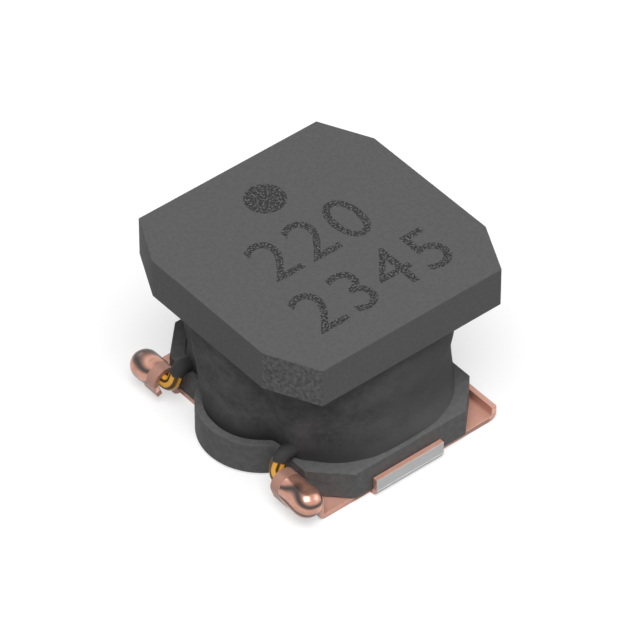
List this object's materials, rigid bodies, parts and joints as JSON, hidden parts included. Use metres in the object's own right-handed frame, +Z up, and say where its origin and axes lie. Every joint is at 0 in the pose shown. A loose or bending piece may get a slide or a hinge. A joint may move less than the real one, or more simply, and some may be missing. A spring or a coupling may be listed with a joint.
{
  "type": "shielded surface-mount power inductor",
  "caption": "Small square drum-core power inductor with a resin-filled winding window and two folded solder clips with welded wire hooks.",
  "frame": {"origin": "centre of the 6.0 by 6.3 mm footprint on the board plane, at the undersides of the terminals", "axes": "+Z up from the board; X along the lines of the marking, with both wire leads at the -X end; Y from the start terminal (-Y) to the finish terminal (+Y)"},
  "size_m": [0.006, 0.0064, 0.0044],
  "materials": {
    "ferrite": "matt sintered ferrite",
    "enamelled_wire": "amber enamel over copper",
    "resin": "matt, slightly rough",
    "terminal_copper": "satin copper, tinned outside",
    "weld_copper": "bright melted copper",
    "adhesive": "cured epoxy"
  },
  "bodies": {
    "root": {"drum_core": "ferrite", "winding": "enamelled_wire", "magnetic_resin": "resin", "terminal_start": "terminal_copper", "terminal_finish": "terminal_copper", "bond_start": "adhesive", "bond_finish": "adhesive", "weld_bead_start": "weld_copper", "weld_bead_finish": "weld_copper"}
  },
  "joints": []
}
